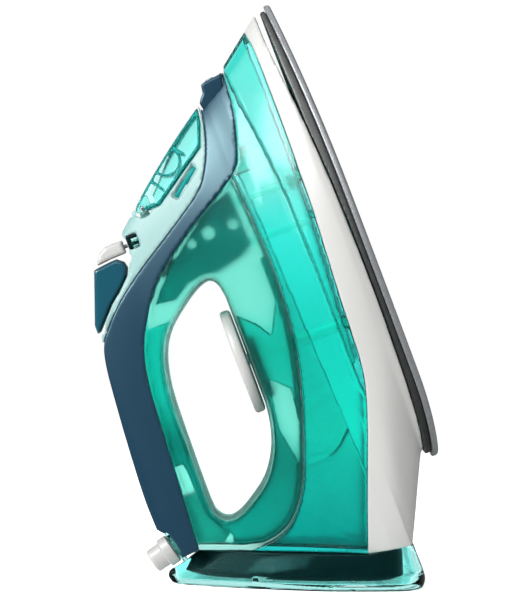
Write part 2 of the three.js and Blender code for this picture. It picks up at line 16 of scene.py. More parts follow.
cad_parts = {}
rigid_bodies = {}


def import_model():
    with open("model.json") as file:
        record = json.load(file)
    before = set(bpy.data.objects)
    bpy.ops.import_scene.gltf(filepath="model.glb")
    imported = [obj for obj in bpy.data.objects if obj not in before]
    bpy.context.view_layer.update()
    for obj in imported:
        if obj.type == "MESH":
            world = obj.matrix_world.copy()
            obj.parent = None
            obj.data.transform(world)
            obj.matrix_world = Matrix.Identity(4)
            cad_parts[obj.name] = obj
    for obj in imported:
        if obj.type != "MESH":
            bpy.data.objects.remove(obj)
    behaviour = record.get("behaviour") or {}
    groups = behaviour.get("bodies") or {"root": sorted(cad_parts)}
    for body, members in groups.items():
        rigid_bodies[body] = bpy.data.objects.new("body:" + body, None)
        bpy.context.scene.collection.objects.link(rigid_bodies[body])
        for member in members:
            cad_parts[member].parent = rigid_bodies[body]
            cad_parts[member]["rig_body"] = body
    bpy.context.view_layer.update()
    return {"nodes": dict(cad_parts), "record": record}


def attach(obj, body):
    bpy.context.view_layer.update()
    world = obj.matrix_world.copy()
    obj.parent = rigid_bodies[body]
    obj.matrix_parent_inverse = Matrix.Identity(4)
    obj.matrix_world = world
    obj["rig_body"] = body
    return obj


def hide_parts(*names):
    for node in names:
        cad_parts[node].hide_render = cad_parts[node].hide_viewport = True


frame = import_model()

# Driving sizes, as in the part
LEAN = math.radians(20.5)
SIN = math.sin(LEAN)
COS = math.cos(LEAN)
HEEL_X = 95.3
HEEL_Z = 69.0
GAP = 0.1
WALL = 2.4
RIM = 1.4  # the handle's wall along its seam and around the grip hole
SEAM = 0.25  # how far the edges at the seams are rounded
BODY_FLOOR = 19.2
SOLE_TIP = 256
SOLE_HEEL = 1.5
SOLE_HALF = 58.5  # half of the soleplate's width
PLATE = 3.4  # the soleplate's thickness
STEP = 0.85  # spacing of the sample points
THINNED = 0.4  # the share of its faces that a dense shell keeps
UPRIGHT = Matrix(((-SIN, 0, -COS, HEEL_X), (0, 1, 0, 0), (COS, 0, -SIN, HEEL_Z), (0, 0, 0, 1)))


# ---------- outlines ----------


def smooth(points, parts=8):
    """A Catmull-Rom curve through the points."""
    p = np.array(points, float)
    p = np.vstack([p[:1], p, p[-1:]])
    out = []
    for a, b, c, d in zip(p, p[1:], p[2:], p[3:]):
        for t in np.arange(parts) / parts:
            v0, v1 = (c - a) / 2, (d - b) / 2
            out.append((2 * b - 2 * c + v0 + v1) * t**3 + (-3 * b + 3 * c - 2 * v0 - v1) * t**2 + v0 * t + b)
    return np.array(out + [p[-1]])


def offset(points, distance):
    """The curve moved to its left by the distance."""
    p = np.array(points, float)
    d = np.gradient(p, axis=0)
    d /= np.linalg.norm(d, axis=1, keepdims=True)
    return p + distance * np.column_stack([-d[:, 1], d[:, 0]])


def outline(*parts):
    return np.vstack([np.array(part, float).reshape(-1, 2) for part in parts])


def floor_at(z, height=BODY_FLOOR):
    return (height - HEEL_Z + SIN * z) / COS


def nose_at(z, start=252.8, slope=0.789, bow=2.3):
    """Where the nose's edge is at a height. It bows out a little over the filler door."""
    return start - slope * (z - 14) + bow * np.maximum(0, 1 - ((z - 87) / 33) ** 2)


GRIP_INSIDE = smooth(
    [[231, 39.5], [220, 40.4], [206, 42.3], [189, 47], [180, 51], [173, 60], [160, 82], [147, 101],
     [136, 113], [122, 122.5], [108, 129.5], [90, 133.5], [64, 135.4], [30, 137.4],
     [floor_at(139.2), 139.2]])
NOSE_INSIDE = GRIP_INSIDE[GRIP_INSIDE[:, 0] > 177.5]
GRIP_OUTSIDE = smooth(
    [[219.4, 57.6], [209, 58.6], [196, 62], [184, 67.5], [175, 74.5], [163, 92], [148, 116], [137.6, 130.3],
     [127.2, 141.4], [118.3, 148.3], [107, 151.6], [87, 153.8], [59, 156], [33, 157.4], [15.6, 157]])
SHELL_SEAM = smooth(
    [[176.8, 54.2], [165.8, 53], [150, 51.8], [130, 51], [106, 51.5], [80, 54.5], [54.8, 60.6], [25.6, 70.5],
     [11.4, 76.3], [-1.8, 85.6], [-8.7, 97], [floor_at(113), 113]])
SKIRT_TOP = smooth(
    [[262, 23.5], [246, 21.4], [232, 20.2], [199, 20.2], [172, 20.8], [148, 21.3], [122.7, 22.8], [96, 24.4],
     [63, 26], [46, 29.3], [30, 34.5], [13.6, 40.5], [-8, 48.5], [floor_at(57), 57]])
TANK_SEAM = smooth(
    [[246, 39.5], [214, 37.4], [192, 34.8], [165, 32.4], [144, 31.4], [103, 30.8], [58, 30.6], [45, 29.6]])
SKIRT_LOW = smooth(
    [[5, 11.2], [24, 9], [57, 7.6], [100, 7.1], [145, 7.7], [180, 9.2], [213, 11.5], [236, 13.2],
     [262, 13.2]])
TANK_END = 45  # where the seam between the tank's halves ends, towards the heel
LOOP = smooth(
    [[118, 79.7], [126, 81.3], [129.8, 85.5], [127.7, 92.8], [121, 102.8], [113.1, 112], [104.2, 118],
     [92.4, 121.8], [78, 123.7], [49.8, 124.5], [20.4, 124.6], [12.9, 123], [9.2, 118.5], [9.9, 112.5],
     [14, 104.8], [20.5, 95.6], [28.2, 89.2], [38, 84.2], [50, 80.8], [60, 79.6]])
HEEL_LINE = np.array([[floor_at(160), 160], [floor_at(57), 57], [-35.4, 33.8], [3.3, 13.4], [5, 0]])


# ---------- distance fields ----------


class Field:
    """Samples of a block, y >= 0 only: the far side mirrors the near side."""

    def __init__(self, low, high, step=STEP):
        self.low = np.array([low[0], 0.0, low[1]])
        self.step = step
        self.x = np.arange(low[0], high[0], step, dtype=np.float32)[:, None, None]
        self.y = np.arange(0, high[2], step, dtype=np.float32)[None, :, None]
        self.z = np.arange(low[1], high[1], step, dtype=np.float32)[None, None, :]

    def part(self, low, high):
        """The same samples, between the corners given."""
        out = Field.__new__(Field)
        i = [max(int((low[k] - self.low[2 * k]) / self.step), 0) for k in (0, 1)]
        j = [int((high[k] - self.low[2 * k]) / self.step) + 2 for k in (0, 1)]
        n = int(high[2] / self.step) + 2
        out.window = (slice(i[0], j[0]), slice(0, n), slice(i[1], j[1]))
        out.x, out.y, out.z = self.x[i[0] : j[0]], self.y[:, :n], self.z[:, :, i[1] : j[1]]
        out.low = np.array([out.x[0, 0, 0], 0.0, out.z[0, 0, 0]])
        out.step = self.step
        return out


def edge_on(f, points):
    """Distance to a side outline, less than 0 inside."""
    x, z = f.x[:, 0, :], f.z[0]
    far = np.full((f.x.shape[0], f.z.shape[2]), 1e9, np.float32)
    inside = np.zeros(far.shape, bool)
    for (ax, az), (bx, bz) in zip(points, np.roll(points, -1, axis=0)):
        ex, ez = bx - ax, bz - az
        size = ex * ex + ez * ez
        if size < 1e-9:
            continue
        t = np.clip(((x - ax) * ex + (z - az) * ez) / size, 0, 1)
        far = np.minimum(far, (x - ax - t * ex) ** 2 + (z - az - t * ez) ** 2)
        if az != bz:
            inside ^= ((az > z) != (bz > z)) & (x < ex * (z - az) / ez + ax)
    return (np.sqrt(far) * np.where(inside, -1, 1))[:, None, :].astype(np.float32)


def both(a, b, r=0.0):
    """What is inside both fields, with its edge rounded to the radius r."""
    if r <= 0:
        return np.maximum(a, b)
    return np.minimum(-r, np.maximum(a, b)) + np.hypot(np.maximum(a + r, 0), np.maximum(b + r, 0))


def less(a, b, r=0.0):
    """What is inside a and outside b."""
    return both(a, -b, r)


def either(a, b, r=0.0):
    """What is inside either field, with a fillet of the radius r between them."""
    return -both(-a, -b, r)


def slab(f, half):
    return f.y - half


def cross_bore(f, centre, radius):
    """A round hole across the body, through the point (x, z)."""
    return np.hypot(f.x - centre[0], f.z - centre[1]) - radius


ROWS = np.array([
    # z, half width, how sharp the nose is, how square the heel is, how far it runs on past the heel
    [6, 57, 0.85, 2.8, 0], [14, 58.5, 0.85, 2.8, 0], [24, 57.6, 0.8, 3.2, 3], [34, 55, 0.75, 4, 10],
    [44, 51.5, 0.7, 4, 26], [57, 45, 0.55, 4, 40], [80, 33, 0.4, 4, 40], [100, 25, 0.35, 4, 40],
    [120, 18.5, 0.35, 4, 40], [135, 17, 0.35, 4, 40], [146, 15, 0.35, 4, 40], [153, 11.5, 0.35, 4, 40],
    [158, 6, 0.35, 4, 40], [161, 1.5, 0.35, 4, 40]])
CREASE = 4  # the row at which the flank folds


def boat(f, tip, heel, half, nose, tail, wide=0.68, taper=1.9):
    """A boat-shaped outline seen along z. Each size is one number, or one for each z."""
    s = (tip - f.x) / (tip - heel)
    w = f.y / np.maximum(half, 0.5)
    fore = w ** (1 / nose) - 1 + np.maximum(1 - s / wide, 0) ** taper
    aft = w**tail + np.maximum((s - wide) / (1 - wide), 0) ** tail - 1
    g = np.where(s < wide, fore, aft).astype(np.float32)
    slope = np.sqrt(sum(d**2 for d in np.gradient(g, f.step, axis=(0, 1))))
    return g / np.maximum(slope, 1e-3)


def by_height(f, rows, k):
    return np.interp(f.z, rows[:, 0], rows[:, k]).astype(np.float32)


def hull(f, inset=0.0):
    """The whole body's skin, moved in by the inset."""
    rows = np.vstack([smooth(ROWS[: CREASE + 1])[:-1], smooth(ROWS[CREASE:])])
    half, nose, tail, past = (by_height(f, rows, k) for k in (1, 2, 3, 4))
    # the heel slopes back up to z = 34, and above that the body ends level over the foot
    ends = np.where(f.z < 34, 3.3 - 1.9 * (f.z - 13.4), floor_at(f.z))
    heel = np.minimum(ends, 6) - past + inset
    return boat(f, nose_at(f.z) - 1.3 * inset, heel, half - inset, nose, tail)


def drill(f, base, direction, radius, length):
    """A round hole in the middle plane, from the base (x, z) along the direction."""
    (bx, bz), (dx, dz) = base, np.array(direction) / np.hypot(*direction)
    along = (f.x - bx) * dx + (f.z - bz) * dz
    aside = (f.x - bx) * dz - (f.z - bz) * dx
    return np.maximum(np.hypot(aside, f.y) - radius, np.abs(along - length / 2) - length / 2)


def tube_along(f, points, radius):
    """A round tube along straight runs between (x, y, z) points."""
    far = np.float32(1e9)
    for a, b in zip(np.array(points, float), np.array(points[1:], float)):
        e = b - a
        p = (f.x - a[0], f.y - a[1], f.z - a[2])
        t = np.clip(sum(q * c for q, c in zip(p, e)) / (e @ e), 0, 1)
        far = np.minimum(far, sum((q - t * c) ** 2 for q, c in zip(p, e)))
    return np.sqrt(far) - radius


def box_field(f, size, centre):
    """A box whose middle is at y = 0 or whose mirror image is wanted too."""
    return np.maximum(
        np.maximum(np.abs(f.x - centre[0]) - size[0] / 2, np.abs(f.y - centre[1]) - size[1] / 2),
        np.abs(f.z - centre[2]) - size[2] / 2)


# ---------- meshes ----------


def new_object(name, bm):
    mesh = bpy.data.meshes.new(name)
    bm.to_mesh(mesh)
    bm.free()
    obj = bpy.data.objects.new(name, mesh)
    bpy.context.scene.collection.objects.link(obj)
    return obj


def biggest(quads, count, kept):
    """The faces of the largest connected surfaces, without crumbs that thin edges leave."""
    group = np.arange(count)
    while True:
        low = group[quads].min(axis=1)
        after = group.copy()
        for k in range(4):
            np.minimum.at(after, quads[:, k], low)
        after = after[after]
        if (after == group).all():
            break
        group = after
    names, sizes = np.unique(group[quads[:, 0]], return_counts=True)
    return quads[np.isin(group[quads[:, 0]], names[np.argsort(sizes)[-kept:]])]


def drop_unused(mesh):
    bm = bmesh.new()
    bm.from_mesh(mesh)
    bmesh.ops.delete(bm, geom=[v for v in bm.verts if not v.link_faces], context="VERTS")
    bm.to_mesh(mesh)
    bm.free()


def skin_of(name, f, field, bores=(), place=UPRIGHT, kept=1):
    """Meshes the surface of a field on both sides of y = 0.

    The bores run along z, and each is (x, y, radius, from z, to z).
    """
    limit = 4 * f.step
    field = np.broadcast_to(field, (f.x.shape[0], f.y.shape[1], f.z.shape[2]))
    whole = np.concatenate([field[:, :0:-1, :], field], axis=1)
    y = np.concatenate([-f.y[:, :0:-1], f.y], axis=1)
    for bx, by, radius, low, high in bores:
        bore = np.maximum(np.hypot(f.x - bx, y - by) - radius, np.maximum(low - f.z, f.z - high))
        whole = np.maximum(whole, -bore)
    whole = np.pad(np.clip(whole, -limit, limit), 1, constant_values=limit).astype(np.float32)
    grid = openvdb.FloatGrid(limit)
    grid.copyFromArray(np.ascontiguousarray(whole))
    points, quads = grid.convertToQuads(0.0)
    first = f.low - f.step * np.array([1, f.y.shape[1], 1])
    mesh = bpy.data.meshes.new(name)
    mesh.from_pydata((points * f.step + first).tolist(), [], biggest(quads, len(points), kept).tolist())
    drop_unused(mesh)
    mesh.transform(Matrix.Scale(0.001, 4) @ place)
    obj = bpy.data.objects.new(name, mesh)
    bpy.context.scene.collection.objects.link(obj)
    thin_out(obj, THINNED)
    obj.data.polygons.foreach_set("use_smooth", np.ones(len(obj.data.polygons), bool))
    return obj


def thin_out(obj, share):
    """Merges the faces of a dense mesh until the share of them is left."""
    fewer = obj.modifiers.new("fewer", "DECIMATE")
    fewer.ratio = share
    graph = bpy.context.evaluated_depsgraph_get()
    mesh = bpy.data.meshes.new_from_object(obj.evaluated_get(graph))
    obj.modifiers.clear()
    mesh.name = obj.name
    obj.data = mesh


def lathe(name, profile, base, direction, sides=96):
    """A turned piece: profile is (radius, height) pairs in millimetres, from base along the direction.

    A profile that ends where it began is a ring. Any other begins and ends on the axis.
    """
    ring = profile[0] == profile[-1]
    rows = profile[:-1] if ring else profile
    turn = Vector((0, 0, 1)).rotation_difference(Vector(direction)).to_matrix().to_4x4()
    bm = bmesh.new()
    loops = []
    for radius, height in rows:
        count = sides if radius > 0 else 1
        angles = [2 * math.pi * k / sides for k in range(count)]
        loops.append([bm.verts.new((radius * math.cos(a), radius * math.sin(a), height)) for a in angles])
    pairs = list(zip(loops, loops[1:])) + ([(loops[-1], loops[0])] if ring else [])
    for low, high in pairs:
        for k in range(sides):
            corners = [low[k % len(low)], low[(k + 1) % len(low)]]
            corners += [high[(k + 1) % len(high)], high[k % len(high)]]
            bm.faces.new(dict.fromkeys(corners))
    bmesh.ops.recalc_face_normals(bm, faces=bm.faces)
    bm.transform(Matrix.Scale(0.001, 4) @ Matrix.Translation(Vector(base)) @ turn)
    obj = new_object(name, bm)
    soften(obj, width=0.4)
    return obj


def soften(obj, width, angle=32):
    """Rounds the sharp edges of a piece with a bevel of the width, in millimetres."""
    obj.data.polygons.foreach_set("use_smooth", np.ones(len(obj.data.polygons), bool))
    weld = obj.modifiers.new("weld", "WELD")
    weld.merge_threshold = 1e-6
    bevel = obj.modifiers.new("bevel", "BEVEL")
    bevel.width = width / 1000
    bevel.segments = 2
    bevel.limit_method = "ANGLE"
    bevel.angle_limit = math.radians(angle)
    bevel.harden_normals = True


# ---------- the shells ----------

VALVE = (163, -5)
DIAL = (83.5, 0)
DIAL_RADIUS = 28.6
DIAL_LOW = 80.6
FILLER = (184, 0)
STEAM_ROD = (141, 0)
SPRAY_ROD = (162.4, 3)
HINGE = (177.6, 104.6)
PIN_HOLE = 1.4
BUSH_PLACE = (-59.9, 11.7)  # the outer end of the cord's bush (x, z), standing upright
BUSH_WAY = (0.82, 0.572)
BUSH_END = (0.68, 165.44)  # the same place and direction in the sole's frame
BUSH_AXIS = (0.2486, -0.9684)
BUTTON_ROOM = 0.6  # between the side of a button and its pocket
STEAM_HALF = 9.4
SPRAY_HALF = 9
NOZZLE = [[214.5, 56], [219.4, 56.9], [221.3, 55.7], [223.6, 53.6], [228.2, 52.9], [229, 50.3], [230, 42],
          [230.9, 40.8], [226, 41.4], [214.3, 44.2]]
STEAM_BUTTON = [[157.4, 131], [157.6, 127], [154.9, 123.6], [151.5, 122.8], [147.4, 124.7], [142.4, 129.6],
                [135.8, 137.6], [124.3, 148.1], [123.8, 150.1], [128.6, 150.1], [156, 140.3], [156.6, 138]]
SPRAY_BUTTON = [[165.8, 120.9], [166, 126.5], [165.6, 130.5], [163.4, 134.6], [160.3, 136.8], [157.8, 137.6],
                [158.6, 130], [158.9, 121]]
STEAM_POCKET = [[158.1, 142], [158.1, 119], [152, 117.8], [146.2, 119.8], [141, 124.8], [134.6, 132.8],
                [123, 143.6], [122.6, 153]]
SPRAY_POCKET = [[166.6, 119], [166.8, 142], [158, 142], [158, 119]]
DECK_SLOT = [[190.8, 71.4], [186.3, 70.2], [174.9, 85.2], [178.1, 87.8]]
SLOT_DEPTH = 1.8
DOOR_RIBS = [[[204.2, 80.6], [205, 79.4], [196.6, 73.2], [195.6, 74.4]],
             [[191.4, 97], [192.2, 95.8], [183.2, 90.2], [182.4, 91.4]]]
DOOR_RING = (196.4, 84.3)
DOOR_EDGE = [[222, 58.3], [209.2, 59.9], [197.2, 64.4], [175.9, 95.4], [175.9, 108.4], [188, 108.4],
             [235, 60]]
DOOR_NOTCH = [[170, 99.2], [170, 110], [183, 110], [183, 99.2]]
SLIDE_CHANNEL = [[159.6, 112.6], [166.9, 112.6], [166.9, 118.4], [159.6, 118.4]]
ROD_BORES = [(*STEAM_ROD, 2, 40, 200), (*SPRAY_ROD, 1.4, 80, 200), (*VALVE, 2, 75, 200)]
FILLER_BORE = (*FILLER, 7.8, 40, 110)
DIAL_BORE = (*DIAL, 4.2, 45, 105)

BODY = Field((-80, 3), (262, 163, 61))
SKIN = hull(BODY)
HEEL_BLOCK = outline(offset(HEEL_LINE, WALL), (300, 0), (300, 160))
INNER = both(hull(BODY, WALL), edge_on(BODY, HEEL_BLOCK))


def window(low, high):
    """A part of the body's samples, with its skin and its hollow."""
    f = BODY.part(low, high)
    return f, SKIN[f.window], INNER[f.window]


def keep(points, low=-999, high=999):
    return points[(points[:, 0] > low) & (points[:, 0] < high)]


def hollow_of(f, inner):
    """The space that the handle's pieces share."""
    low = offset(SHELL_SEAM, -RIM)
    around = outline(offset(GRIP_OUTSIDE, WALL), (floor_at(152, 22), 152), (floor_at(116, 22), 116),
                     low[low[:, 1] < 108][::-1], offset(NOSE_INSIDE, -WALL)[::-1])
    ring = offset(np.vstack([LOOP, LOOP[:1]]), -RIM)[:-1]
    return less(both(edge_on(f, around), inner), edge_on(f, ring))


def skirt():
    f, skin, inner = window((-40, 5), (262, 62, 61))
    solid = both(edge_on(f, outline(HEEL_LINE[1:4], SKIRT_LOW, SKIRT_TOP)), skin, SEAM)
    return skin_of("skirt_shell", f, less(solid, inner))


def tank_lower():
    f, skin, inner = window((40, 16), (262, 44, 61))
    bottom = keep(offset(SKIRT_TOP, -GAP), TANK_END)
    end = 58 + WALL
    inside = keep(offset(SKIRT_TOP, -WALL), end)
    solid = both(edge_on(f, outline(offset(TANK_SEAM, GAP / 2), bottom[::-1])), skin, SEAM)
    room = both(edge_on(f, outline(inside, (end, 45), (262, 45))), inner)
    bores = [(*VALVE, 4.3, 14, 34), (*DIAL, 3.5, 14, 34), (*STEAM_ROD, 2.2, 14, 34)]
    return skin_of("tank_lower_shell", f, less(solid, room), bores)


def tank_upper():
    f, skin, inner = window((-40, 26), (250, 116, 58))
    nose = offset(NOSE_INSIDE, GAP / 2)
    edge = outline(offset(TANK_SEAM, -GAP / 2), keep(offset(SKIRT_TOP, -GAP), high=TANK_END),
                   offset(SHELL_SEAM, GAP / 2)[::-1], nose[::-1], (246, 39.9))
    return skin_of("tank_upper_shell", f, less(both(edge_on(f, edge), skin, SEAM), inner))


def handle_body():
    f, skin, inner = window((-30, 48), (182, 142, 48))
    edge = outline(keep(offset(GRIP_INSIDE, GAP / 2), high=176.6), offset(SHELL_SEAM, -GAP / 2)[::-1])
    solid = both(edge_on(f, edge), skin, SEAM)
    solid = less(less(solid, hollow_of(f, inner)), edge_on(f, LOOP), 1.1)
    bores = [DIAL_BORE, FILLER_BORE, (*VALVE, 2, 40, 80), (*STEAM_ROD, 2.2, 45, 61)]
    return skin_of("handle_shell", f, solid, bores)


LINER_WINDOWS = [
    [[140, 74], [136, 56], [108, 56], [92, 64], [100, 69], [108, 78]],
    [[70, 73], [62, 64.5], [36, 67.5], [24, 73.4], [44, 77]],
    [[117, 128], [133, 118], [140, 103], [132, 92], [117, 107]],
    [[44, 140], [44, 131.5], [26, 130.5], [26, 139]],
    [[28, 150], [28, 130.5], [13, 129], [0, 120], [-20, 125], [-20, 150]]]
# where the painted shade above the tank's fold begins
TANK_FOLD = [[176, 50], [150, 48], [26, 43], [-45, 42]]


def handle_liner():
    """The inner wall of the clear handle. The handle is brighter where the wall is open."""
    f, _, inner = window((-30, 48), (140, 142, 48))
    room = hollow_of(f, inner)
    solid = less(room + 0.5, room + 1.7)
    for opening in LINER_WINDOWS:
        solid = less(solid, edge_on(f, np.array(opening)))
    return skin_of("handle_liner", f, both(solid, f.x - 131), [DIAL_BORE])


def fold_shade_sheet():
    """The inner wall that darkens the clear tank above the fold in its flank: a sheet of painted shade."""
    f, _, inner = window((-40, 40), (178, 116, 58))
    room = both(inner + 0.5, edge_on(f, outline(TANK_FOLD, offset(SHELL_SEAM, 0.6)[::-1])))
    return skin_of("fold_shade_sheet", f, less(room, inner + 1.5))


def cut_for_buttons(f, solid):
    for pocket, half in ((STEAM_POCKET, STEAM_HALF), (SPRAY_POCKET, SPRAY_HALF)):
        solid = less(solid, both(edge_on(f, np.array(pocket)), slab(f, half + BUTTON_ROOM), 1))
    return solid


def handle_cover():
    f, skin, inner = window((-20, 36), (234, 162, 44))
    edge = outline(offset(GRIP_INSIDE, -GAP / 2)[::-1], offset(GRIP_OUTSIDE, GAP / 2), (-2.1, 149.2))
    seat = [[214.1, 44.2], [214.1, 56.6], [219.2, 58.4], [240, 58.4], [240, 39.9], [226, 41.3]]
    solid = less(both(edge_on(f, edge), skin, SEAM), hollow_of(f, inner))
    solid = less(cut_for_buttons(f, solid), both(edge_on(f, np.array(seat)), slab(f, 7.4)))
    end = (BUSH_END[0] - 2 * BUSH_AXIS[0], BUSH_END[1] - 2 * BUSH_AXIS[1])
    solid = less(solid, drill(f, end, BUSH_AXIS, 14, 18.5), SEAM)
    solid = less(solid, drill(f, BUSH_END, BUSH_AXIS, 5.8, 30))
    return skin_of("soft_cover", f, solid, ROD_BORES + [FILLER_BORE])


def control_deck():
    f, skin, _ = window((112, 52), (222, 154, 42))
    top = [[118.2, 149.4], [125, 147.4], [135.4, 137.6], [142, 129.6], [147, 124.5], [151.5, 122.3],
           [159.5, 120.3], [168, 119.7], [175.6, 119.7], [175.6, 95.2], [196.9, 64], [209.1, 59.6],
           [219, 58.3]]
    low = keep(offset(GRIP_OUTSIDE, -GAP / 2), 118, 219)
    solid = cut_for_buttons(f, both(edge_on(f, outline(low, top)), skin, SEAM))
    solid = less(solid, edge_on(f, np.array(SLIDE_CHANNEL)))
    solid = less(solid, cross_bore(f, HINGE, 4.9))
    solid = less(solid, both(edge_on(f, np.array(DECK_SLOT)), -SLOT_DEPTH - skin), 0.3)
    lug = np.array([[170, 101.8], [170, 107.6], [178.6, 106.8], [179.6, 104.6], [178.6, 102.4]])
    solid = either(solid, both(edge_on(f, lug), slab(f, 2.4), 0.3))
    solid = less(solid, cross_bore(f, HINGE, PIN_HOLE))
    return skin_of("deck", f, solid, ROD_BORES + [FILLER_BORE])


def slot_floor():
    """The dark strips at the bottom of the deck's two side slots."""
    f, skin, _ = window((170, 66), (196, 92, 42))
    strip = both(edge_on(f, np.array(DECK_SLOT)) + 0.3, both(skin + SLOT_DEPTH - 0.3, -3 - skin))
    return skin_of("slot_floor", f, strip, kept=2)


def filler_door():
    f, skin, _ = window((168, 54), (238, 112, 42))
    edge = np.array(DOOR_EDGE)
    room = np.array([[213, 61], [208, 50], [160, 70], [160, 97], [182, 97], [213, 66]])
    solid = both(edge_on(f, edge), skin, 0.9)
    solid = less(solid, both(hull(f, 2), edge_on(f, room)))
    solid = less(solid, both(edge_on(f, np.array(DOOR_NOTCH)), slab(f, 2.8)))
    return skin_of("door_shell", f, less(solid, cross_bore(f, HINGE, PIN_HOLE)))


def door_ribs():
    """The darker frame, cross ribs and seal ring that show through the clear door."""
    f, skin, _ = window((168, 54), (238, 112, 42))
    edge = edge_on(f, np.array(DOOR_EDGE))
    ribs = np.minimum(nose_at(f.z) - 2.6 - f.x, -edge - 1.8)
    ribs = np.minimum(ribs, np.abs(cross_bore(f, DOOR_RING, 7.4)) - 0.6)
    for rib in DOOR_RIBS:
        ribs = np.minimum(ribs, edge_on(f, np.array(rib)))
    solid = both(both(ribs, edge + 0.5), skin + 0.6)
    solid = less(solid, both(edge_on(f, np.array(DOOR_NOTCH)) - 0.5, slab(f, 3.4)))
    return skin_of("door_ribs", f, less(solid, cross_bore(f, HINGE, 2.2)))


def hinge_cap():
    f, skin, _ = window((172, 106), (188, 115, 30))
    edge = np.array([[175.9, 108.9], [175.9, 112.3], [184, 112.3], [184, 108.9]])
    return skin_of("hinge_cover", f, both(edge_on(f, edge), skin, SEAM))


def spray_nozzle():
    f = Field((212, 39), (233, 59, 9), STEP * 0.6)
    solid = both(edge_on(f, np.array(NOZZLE)), slab(f, 7), 1.3)
    return skin_of("nozzle_shell", f, less(solid, drill(f, (225.2, 47.4), (1, 0.1), 2.7, 9), 0.5))


def button(name, points, half, crown, bore):
    """A moulded button: rounded all round, and fullest in the middle."""
    low, high = np.min(points, axis=0) - 2, np.max(points, axis=0) + 2
    f = Field(low, (*high, half + 2), STEP * 0.6)
    solid = both(edge_on(f, np.array(points)) + crown * f.y**2, slab(f, half), 1.8)
    return skin_of(name, f, solid, [bore])


def steam_button():
    return button("steam_key", STEAM_BUTTON, STEAM_HALF, 0.006, (*STEAM_ROD, 1.9, 120, 134))


def spray_button():
    return button("spray_key", SPRAY_BUTTON, SPRAY_HALF, 0.004, (*SPRAY_ROD, 1.3, 117, 125))


def sole_outline(f, inset):
    return boat(f, SOLE_TIP - inset, SOLE_HEEL + inset, SOLE_HALF - inset, 0.85, 2.8)


def rise(x):
    """The working face curls up at the tip and the heel."""
    return 4.2 * np.maximum(0, (x - 150) / 106) ** 2 + 3.9 * np.maximum(0, (45 - x) / 43) ** 2


def soleplate():
    f = Field((-2, -1), (259, 11, 61), STEP * 0.65)
    z = f.z - rise(f.x)
    solid = both(both(sole_outline(f, 0), z - PLATE, 0.5), -z, 1.5)
    vents = [(226, 0), (70, 0)] + [(x, 0.31 * (250 - x)) for x in range(122, 214, 13)]
    vents += [(x, 0) for x in (200, 174, 148)]
    for x, y in vents:
        solid = less(solid, np.hypot(f.x - x, f.y - y) - 1.7, 0.6)
    return skin_of("sole_skin", f, solid)


HEATER_PATH = [[24, 27, 20], [24, 27, 12], [32, 27, 8.6], [90, 27, 8.6], [160, 15, 8.6], [186, 0, 8.6]]


def sole_casting():
    f = Field((0, 2), (258, 17, 60))
    z = f.z - 0.35 * rise(f.x)
    solid = both(sole_outline(f, 2.6), both(z - 9.2, PLATE + GAP + rise(f.x) - f.z), 0.8)
    # the rim stays below the skirt's lower edge
    rim = np.interp(f.x, *np.transpose(SKIRT_LOW)) - 0.4
    solid = less(solid, both(-sole_outline(f, 8), rim - f.z))
    solid = less(solid, tube_along(f, HEATER_PATH, 4))
    solid = less(solid, both(boat(f, 172, 62, 14, 0.4, 4), 5.6 - f.z))
    for x, y in ((205, 0), (44, 39)):
        solid = less(either(solid, box_field(f, (9, 9, 7), (x, y, 11.5))), np.hypot(f.x - x, f.y - y) - 1.9)
    return skin_of("casting_skin", f, solid)


def foot_outline(f, rows):
    rows = np.array(rows, float)
    tip, heel, half = (by_height(f, rows, k) for k in (1, 2, 3))
    return boat(f, tip, heel, half, 0.8, 5.5, 0.65, 1.3)


def along_bush(distance):
    """The upright (x, z) on the bush's axis, at a distance from its outer end."""
    return BUSH_PLACE[0] + distance * BUSH_WAY[0], BUSH_PLACE[1] + distance * BUSH_WAY[1]


def heel_rest():
    f = Field((-55, -1.5), (87, 27, 53))
    outside = [[0, -46, 80.5, 47.5], [1.4, -49.5, 82.6, 49.8], [7, -51, 83.4, 50.3], [19, -40, 79, 48],
               [26, -36, 76.4, 46]]
    inside = [[3.4, -45.5, 78, 45.5], [8, -47.5, 79.8, 47], [19, -37, 76.2, 45], [30, -33, 73.4, 43]]
    top = [[76.6, 24], [52.8, 18.8], [-34.5, 18.8], [-38, 16], [-43.5, 11.6], [-48, 8.9], [-54, 6.8],
           [-54, -5], [90, -5], [90, 24]]
    solid = both(both(foot_outline(f, smooth(outside)), edge_on(f, np.array(top)), 0.5), -f.z, 1.0)
    solid = less(solid, both(foot_outline(f, inside), 3.4 - f.z))
    solid = less(solid, drill(f, along_bush(13), BUSH_WAY, 10.2, 4))
    for width, depth, x in ((10, 62, -1), (1.6, 80, 46)):
        solid = either(solid, box_field(f, (width, depth, 3), (x, 0, 4)))
    return skin_of("clear_foot", f, solid, place=Matrix.Identity(4))


def rear_cover():
    f = Field((-45, 2), (75, 25, 44))
    top = np.array([[71.6, 22.6], [52.8, 18.5], [-34.5, 18.5], [-38, 15.4], [-42, 11.6], [-60, 8], [-60, 0],
                    [90, 0], [90, 22.6]])
    rows = [[4, -38, 71, 39.5], [6.5, -42.5, 73, 42], [19, -36, 72.6, 42], [26, -33, 71.5, 41]]
    solid = both(both(foot_outline(f, rows), edge_on(f, top), 0.5), 4 - f.z, 1.0)
    bores = [(18, y, r, 3, z) for y in (22, -22) for r, z in ((3.7, 9), (1.8, 30))]
    return skin_of("inner_block", f, solid, bores, Matrix.Identity(4))


# ---------- materials ----------


def linear(code):
    """A '#rrggbb' colour as the shader's linear red, green, blue and alpha."""
    parts = [int(code[k : k + 2], 16) / 255 for k in (1, 3, 5)]
    return [c / 12.92 if c <= 0.04045 else ((c + 0.055) / 1.055) ** 2.4 for c in parts] + [1]


